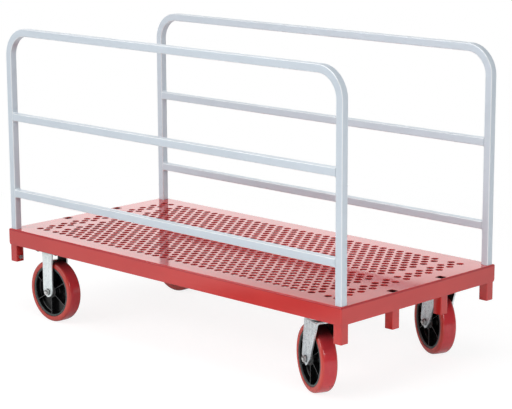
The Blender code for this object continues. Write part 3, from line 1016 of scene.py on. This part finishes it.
def u_path(foot, top):
    """The middle line of a pressing: up one leg, across the web and down the other.

    The web runs straight into the second bend, without the step that ends the first.
    """
    start = top - leg_bend
    flat = leg_middle - leg_bend
    leg = [(leg_middle, foot + (start - foot) * row / leg_rows, 0.0) for row in range(leg_rows + 1)]
    for step in range(1, bend_rows + 1):
        angle = pi / 2 * step / bend_rows
        leg.append((flat + leg_bend * cos(angle), start + leg_bend * sin(angle), angle))
    web = [(flat * (1 - 2 * row / web_rows), top, pi / 2) for row in range(1, web_rows)]
    return leg + web + [(-y, z, pi - angle) for y, z, angle in leg[-2::-1]]


def pressing(foot, top, width_at):
    """A strip bent into a U over the wheel, its width set by the height."""
    half = leg_thickness / 2
    rings = []
    for y, z, angle in u_path(foot, top):
        low, high = width_at(z)
        corners = [(high, -half), (high, half), (low, half), (low, -half)]
        section = rounded(corners, min(edge_radius, (high - low) / 2 - touch), edge_steps)
        rings.append([(u, y + v * cos(angle), z + v * sin(angle)) for u, v in section])
    return lofted(rings)


def fork_width(foot, top):
    """A rigid leg's edges at a height: a half ellipse at the foot, a slight flare at the top."""
    def width_at(z):
        rise = min(1, max(0, (z - foot) / foot_rise))
        flare = max(0, 1 - (top - z) / fork_flare_drop)
        half = fork_half * sqrt(max(foot_least, 1 - (1 - rise) ** 2))
        half += fork_flare * flare * flare * (3 - 2 * flare)
        return -half, half
    return width_at


def yoke_width(trail, axle, top):
    """A raked leg's edges at a height, from one rounded outline."""
    knee = axle + waist_rise
    tip = axle - tip_drop
    heel = tip + tip_rise
    outline = [(crown_half, top), (-trail + waist_half, knee), (-trail + tip_half, heel), (-trail, tip),
               (-trail - tip_half, heel), (-trail - waist_half, knee), (-crown_half, top)]
    edge = rounded(outline, [touch, waist_round, tip_round, touch, tip_round, waist_round, touch])
    front = sorted((z, x) for x, z in edge if x >= -trail)
    back = sorted((z, x) for x, z in edge if x <= -trail)

    def at(side, z):
        for (z0, x0), (z1, x1) in zip(side, side[1:]):
            if z0 <= z <= z1 and z1 > z0:
                return x0 + (x1 - x0) * (z - z0) / (z1 - z0)
        return side[0][1] if z < side[0][0] else side[-1][1]

    def width_at(z):
        return at(back, z) - edge_radius, at(front, z) + edge_radius
    return width_at


def race_mesh():
    """The ball race: a lower cup, a seam and an upper cap, as one ring."""
    low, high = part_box("race_front_right")
    radius = (high.x - low.x) / 2
    profile = [(radius * out, low.z + rise * (high.z - low.z)) for out, rise in race_profile]
    return turned(profile, race_steps, sharp=30)


def kingpin_mesh(seat):
    """The kingpin: a hexagonal head under the crown and a shank up through the plate."""
    low, high = [corner.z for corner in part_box("kingpin_front_right")]
    rings = hexagon(pin_flats, low, seat, cut_high=False)
    rings += [circle(pin_radius, seat), circle(pin_radius, high - touch * 2)]
    return lofted(rings + [circle(pin_radius * pin_tip, high)])


# Plates and mounts

def plate_mesh():
    """A caster's top plate with rounded corners."""
    size = extent("plate_front_right")
    outline = rounded(rectangle(size.x / 2, size.y / 2), plate_corner, plate_steps)
    half = plate_thickness / 2
    return lofted([[(x, y, z) for x, y in outline] for z in (-half, half)])


def mount_meshes():
    """Four bolts with their heads on a channel's web, and four nuts under the plate."""
    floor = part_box("caster_channel_rear")[0].z + channel_wall
    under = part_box("plate_front_right")[0].z
    nut_low = under - mount_nut - touch
    end = under - mount_nut - mount_end
    bolt = bolt_mesh(mount_radius, mount_flats, end, nut_low, floor + touch, floor + mount_head)
    nut = nut_mesh(mount_radius + touch, mount_flats, nut_low, under - touch)
    bolts = [(bolt, moved(x, y, 0)) for x, y in mounts]
    nuts = [(nut, moved(x, y, 0) @ spun(nut_start + nut_step * i)) for i, (x, y) in enumerate(mounts)]
    return {"bolts": joined(bolts), "nuts": joined(nuts)}


def show_mount(name, plate, coats, tone, fixings, stand, stands_for=None):
    """A caster's top plate with its bolts and nuts."""
    place = stand @ moved(0, 0, middle("plate_front_right").z)
    show(f"top_plate_{name}", plate, coats[tone], stands_for, place, soft=edge_radius)
    for label, mesh in fixings.items():
        # The bolts and nuts take the dull zinc, a darkened copy that is painted shade
        show(f"mount_{label}_{name}", mesh, coats["dull"], place=stand)


# Wheels

def tread_mesh():
    """The tyre about Z: flat sides, round shoulders and a barely crowned face."""
    outer = extent("tread_rear_right").z / 2
    flank = outer - crown_fall - shoulder
    half = [(tread_inner + out, inset - tread_half) for out, inset in tread_lip]
    half += [(flank - flank_flat, -tread_half)]
    half += [(flank + shoulder * s, shoulder * (1 - c) - tread_half) for s, c in quarter(shoulder_steps)]
    half += [(outer - crown_fall * crown_start_fall, -tread_half * crown_start)]
    return turned(half + [(outer, 0)] + [(r, -z) for r, z in half[::-1]], wheel_steps, sharp=50)


def rib_mesh():
    """One moulded rib along X on the +Z side of the web, thin at its top and dipped."""
    start = boss_radius - boss_draft
    end = core_radius - rim_thickness / 2
    wide = rib_foot / 2
    thin = rib_top / 2
    soft = rib_top / 5
    foot = web_half - touch
    rings = []
    for station in range(rib_stations + 1):
        share = station / rib_stations
        dip = rib_dip * sin(pi * min(1, share * rib_dip_reach)) ** rib_dip_power
        top = rim_half - rib_inset - dip
        section = [(-wide, foot), (-thin, top - soft), (-thin + soft, top), (thin - soft, top),
                   (thin, top - soft), (wide, foot)]
        rings.append([(start + (end - start) * share, y, z) for y, z in section])
    return lofted(rings, sharp=50)


def core_mesh():
    """The hub about Z: boss, web and rim turned as one, with ribs on both sides."""
    rim = core_radius - rim_thickness
    web_start = boss_radius + boss_draft
    walk = [(core_bore, boss_half - bore_edge), (core_bore + bore_edge, boss_half),
            (boss_radius - boss_edge, boss_half), (boss_radius, boss_half - boss_edge),
            (web_start, web_half + web_fillet), (web_start + web_fillet, web_half),
            (rim - rim_fillet_out, web_half), (rim - rim_fillet_in, web_half + rim_fillet_rise),
            (rim - touch, rim_half - rim_edge_drop), (rim + rim_edge_out, rim_half),
            (core_radius - rim_lip, rim_half), (core_radius, rim_half - rim_lip)]
    parts = [(turned(walk + [(r, -z) for r, z in walk[::-1]], wheel_steps), Matrix.Identity(4))]
    rib = rib_mesh()
    for flip in (0, pi):
        for number in range(rib_count):
            parts.append((rib, spun(2 * pi * (number + 0.5) / rib_count) @ spun(flip, "X")))
    return joined(parts)


def bushing_mesh():
    """The steel sleeve on the axle, its ends chamfered."""
    half = extent("bushing_rear_right").y / 2
    bore = axle_radius + touch
    short = half - bushing_chamfer
    thin = bushing_radius - bushing_chamfer
    walk = [(bore, -half), (thin, -half), (bushing_radius, -short),
            (bushing_radius, short), (thin, half), (bore, half)]
    return turned(walk, sharp=30)


def wheel_parts(coats):
    """The wheel and axle about Z: piece, node, mesh, coat, and whether it turns."""
    axle_y = middle("tread_rear_right").y
    low, high = [corner.y - axle_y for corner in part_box("axle_bolt_rear_right")]
    nut_low, nut_high = [corner.y - axle_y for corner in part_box("axle_nut_rear_right")]
    seat = leg_middle + leg_thickness / 2
    bolt = bolt_mesh(axle_radius, axle_flats, low, -seat, seat + touch, high)
    nut = nut_mesh(axle_radius + touch, axle_flats, nut_low, nut_high)
    return (("tyre", "tread", tread_mesh(), coats["tyre"], True),
            ("ribbed_hub", "hub_core", core_mesh(), coats["nylon"], True),
            ("sleeve", "bushing", bushing_mesh(), coats["steel"], False),
            ("axle", "axle_bolt", bolt, coats["screw"], False),
            ("axle_lock_nut", "axle_nut", nut, coats["screw"], False))


def show_wheel(name, parts, place, carrier):
    """A wheel with its sleeve, axle and nut, its middle given by a matrix."""
    for label, node, mesh, coat, turns in parts:
        body = f"wheel_{name}" if turns else carrier
        show(f"{label}_{name}", mesh, coat, f"{node}_{name}", place @ spun(-pi / 2, "X"), body)


# Casters

def show_rigid_casters(coats, wheel, fixings):
    """The two casters at the rear."""
    axle_level = middle("tread_rear_right").z
    foot = axle_level - foot_drop
    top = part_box("plate_front_right")[0].z - touch - leg_thickness / 2
    fork = pressing(foot + touch, top, fork_width(foot, top))
    plate = plate_mesh()
    for side in sides:
        name = f"rear_{side}"
        fork_middle = middle(f"fork_{name}")
        stand = moved(fork_middle.x, fork_middle.y, 0)
        show(f"rigid_legs_{name}", fork, coats["bright"], f"fork_{name}", stand)
        # The rigid plates take the dull zinc, a darkened copy that is painted shade
        show_mount(name, plate, coats, "dull", fixings, stand)
        show_wheel(name, wheel, stand @ moved(0, 0, axle_level), "deck_frame")


def show_swivel_casters(coats, wheel, fixings):
    """The two casters at the front, each swung as its yoke is."""
    axle_level = middle("tread_rear_right").z
    crown_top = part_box("yoke_front_right")[1].z
    crown = crown_top - leg_thickness / 2
    trail = (middle("kingpin_front_right") - middle("tread_front_right")).xy.length
    yoke = pressing(axle_level - tip_drop + touch, crown, yoke_width(trail, axle_level, crown))
    race = race_mesh()
    pin = kingpin_mesh(crown_top - leg_thickness - touch)
    plate = plate_mesh()
    for side in sides:
        name = f"front_{side}"
        pivot = middle(f"kingpin_{name}")
        arm = (pivot - middle(f"tread_{name}")).xy
        stand = moved(pivot.x, pivot.y, 0)
        swung = stand @ spun(atan2(arm.y, arm.x))
        body = f"yoke_{name}"
        show_mount(name, plate, coats, "pale", fixings, stand, f"plate_{name}")
        show(f"pivot_pin_{name}", pin, coats["screw"], f"kingpin_{name}", stand)
        show(f"ball_race_{name}", race, coats["pale"], f"race_{name}", swung, body)
        show(f"raked_legs_{name}", yoke, coats["mottled"], f"yoke_{name}", swung, body)
        show_wheel(name, wheel, swung @ moved(-arm.length, 0, axle_level), body)


# Stage, light and camera

def show_floor():
    """A pale floor that runs out to white."""
    bpy.ops.mesh.primitive_plane_add(size=floor_size, location=(0, 0, 0))
    floor = bpy.context.object
    floor.name = "floor"
    material = bpy.data.materials.new("pale_floor")
    floor.data.materials.append(material)
    tree = Nodes(material, "NewGeometry", "Position")
    mirrored = tree.mirrored()
    # Mirror images show a painted shadow under the cart and a painted dim spot beside it
    below = [tree.spread(tree.out(axis), reach, reach + shade_blur, 1, 0)
             for axis, reach in zip("XY", shade_half)]
    aside = tree.spread(tree.distance(dim_place), *dim_reach, dim_share, 0)
    shade = tree.times(tree.larger(tree.times(*below, shade_share), aside), mirrored)
    glow = tree.node("Emission", {"Strength": tree.spread(shade, 0, 1, floor_glow, 0)})[0]
    matt = tree.node("BsdfDiffuse", {"Color": (*[floor_matt] * 3, 1)})[0]
    near = tree.node("AddShader", {0: matt, 1: glow})[0]
    plain = tree.node("Emission", {"Strength": 1.0})[0]
    far = tree.spread(tree.distance(), *shadow_reach)
    visible = tree.node("MixShader", {0: far, 1: near, 2: plain})[0]
    bounce = tree.spread(tree.distance(bounce_place), *bounce_reach, *bounce_light)
    hidden = tree.node("BsdfDiffuse", {"Color": bounce})[0]
    shown = tree.larger(tree.node("LightPath")["Is Camera Ray"], mirrored)
    both = tree.node("MixShader", {0: shown, 1: hidden, 2: visible})[0]
    tree.node("OutputMaterial", {"Surface": both})


def make_world():
    """White to the camera; in reflections white behind the cart, dim elsewhere."""
    world = bpy.data.worlds.new("studio")
    scene.world = world
    tree = Nodes(world, "TexCoord", "Generated")
    sky = tree.spread(tree.axis("Z"), 0.34, 0.66, backdrop_shine, overhead_shine)
    ahead = tree.maths("SUBTRACT", tree.axis("X"), tree.axis("Y"))
    sky = tree.times(sky, tree.spread(ahead, -0.2, 0.5, 1, room_shine))
    lit = tree.times(tree.spread(tree.axis("Z"), 0.2, 0.9, 1, zenith_share), world_light)
    strength = tree.spread(tree.mirrored(), 0, 1, lit, sky)
    strength = tree.spread(tree.node("LightPath")["Is Camera Ray"], 0, 1, strength, 1)
    back = tree.node("Background", {"Color": (1, 1, 1, 1), "Strength": strength})[0]
    tree.node("OutputWorld", {"Surface": back})


def softbox(name, place, aim, width, height, radiance):
    """A rectangular lamp that faces a point, set by how bright its face is."""
    lamp = bpy.data.lights.new(name, "AREA")
    lamp.shape = "RECTANGLE"
    lamp.size = width
    lamp.size_y = height
    lamp.energy = radiance * pi * width * height
    turn = (Vector(aim) - Vector(place)).to_track_quat("-Z", "Y").to_matrix().to_4x4()
    added(name, lamp, moved(*place) @ turn).visible_camera = False


def make_camera():
    """The photograph's view."""
    data = bpy.data.cameras.new("view")
    data.sensor_width = sensor_width
    data.lens = focal_pixels / image_width * sensor_width
    data.clip_end = floor_size
    turn = spun(camera_yaw) @ spun(pi / 2 - camera_pitch, "X") @ spun(camera_roll)
    scene.camera = added("view", data, moved(*camera_place) @ turn)


scene.view_settings.view_transform = "Standard"
make_camera()
make_world()
show_floor()
for lamp in lamps:
    softbox(*lamp)

coats = {name: zinc(name, *tones) for name, tones in zincs.items()}
coats |= {"steel": turned_steel(), "nylon": black_nylon(), "tyre": red_polyurethane()}
show_frame(red_powder_coat("red_powder_coat"))
# The sockets get painted shade inside and on their upper end
show_sockets(red_powder_coat("red_powder_coat_socket", [(in_sockets, slot_painted_shade, 0)]), coats["screw"])
show_panels(silver_paint())
wheel = wheel_parts(coats)
fixings = mount_meshes()
show_rigid_casters(coats, wheel, fixings)
show_swivel_casters(coats, wheel, fixings)
